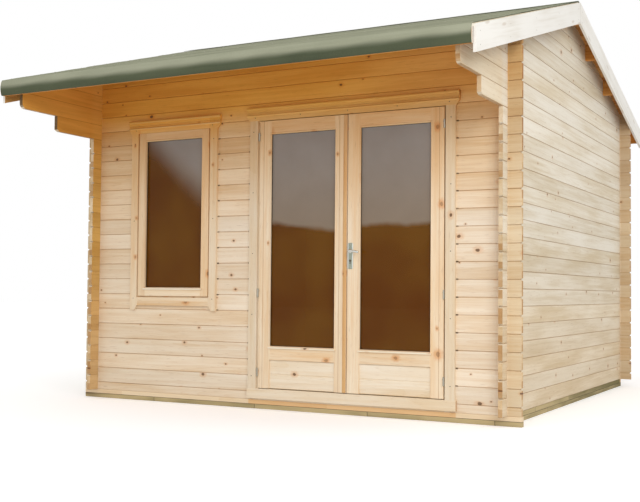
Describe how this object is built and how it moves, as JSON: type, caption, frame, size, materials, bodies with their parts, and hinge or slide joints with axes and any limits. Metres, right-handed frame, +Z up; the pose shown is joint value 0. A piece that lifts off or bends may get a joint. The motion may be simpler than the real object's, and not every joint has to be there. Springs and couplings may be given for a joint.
{
  "type": "log cabin",
  "caption": "Small interlocking-log garden cabin with a pitched felt roof, front canopy on stepped brackets, glazed double doors and a tall side window.",
  "frame": {"origin": "on the ground, below the ridge and midway between the gables: the bottom centre of the whole cabin", "axes": "+Z up, the doors face -Y, the ridge runs along X"},
  "size_m": [3.586, 4.8, 3.0784],
  "materials": {
    "log_timber": "planed bare spruce",
    "pale_timber": "pale weathered board",
    "treated_timber": "pressure-treated, greenish",
    "felt": "green mineral roofing felt",
    "glass": "clear",
    "plated_steel": "satin chrome plate"
  },
  "bodies": {
    "cabin": {"back_bargeboards": "pale_timber", "back_roof_boards": "log_timber", "back_roof_felt": "felt", "back_wall": "log_timber", "canopy_beam": "log_timber", "cross_bearers": "treated_timber", "door_head": "log_timber", "door_head_trim": "log_timber", "door_jambs": "log_timber", "door_side_trims": "log_timber", "door_threshold": "log_timber", "fascias": "log_timber", "floor_boards": "log_timber", "floor_joists": "treated_timber", "front_bargeboards": "pale_timber", "front_roof_boards": "log_timber", "front_roof_felt": "felt", "front_wall_below_window": "log_timber", "front_wall_left": "log_timber", "front_wall_middle": "log_timber", "front_wall_right": "log_timber", "front_wall_top": "log_timber", "hinge_pins": "plated_steel", "left_gable": "log_timber", "left_wall": "log_timber", "purlins": "log_timber", "ridge_purlin": "log_timber", "right_gable": "log_timber", "right_wall": "log_timber", "side_bearers": "treated_timber", "window_cross_trims": "log_timber", "window_frame": "log_timber", "window_glass": "glass", "window_sash": "log_timber", "window_side_trims": "log_timber"},
    "left_door": {"left_door_frame": "log_timber", "left_door_panel": "log_timber", "left_door_glass": "glass", "left_hinge_sockets": "plated_steel"},
    "right_door": {"right_door_frame": "log_timber", "right_door_panel": "log_timber", "right_door_glass": "glass", "right_hinge_sockets": "plated_steel", "lock_plates": "plated_steel"},
    "lever": {"door_lever": "plated_steel"}
  },
  "joints": [
    {"name": "left_door_swing", "type": "hinge", "parent": "cabin", "child": "left_door", "pos_m": [-0.1715, -1.4593, 0.064], "axis": [0, 0, -1], "range_deg": [0, 100]},
    {"name": "right_door_swing", "type": "hinge", "parent": "cabin", "child": "right_door", "pos_m": [1.2555, -1.4593, 0.064], "axis": [0, 0, 1], "range_deg": [0, 100]},
    {"name": "lever_turn", "type": "hinge", "parent": "right_door", "child": "lever", "pos_m": [0.5685, -1.453, 1.127], "axis": [0, 1, 0], "range_deg": [0, 40], "stiffness_Nm_per_rad": 1, "springref_deg": -28.65}
  ]
}
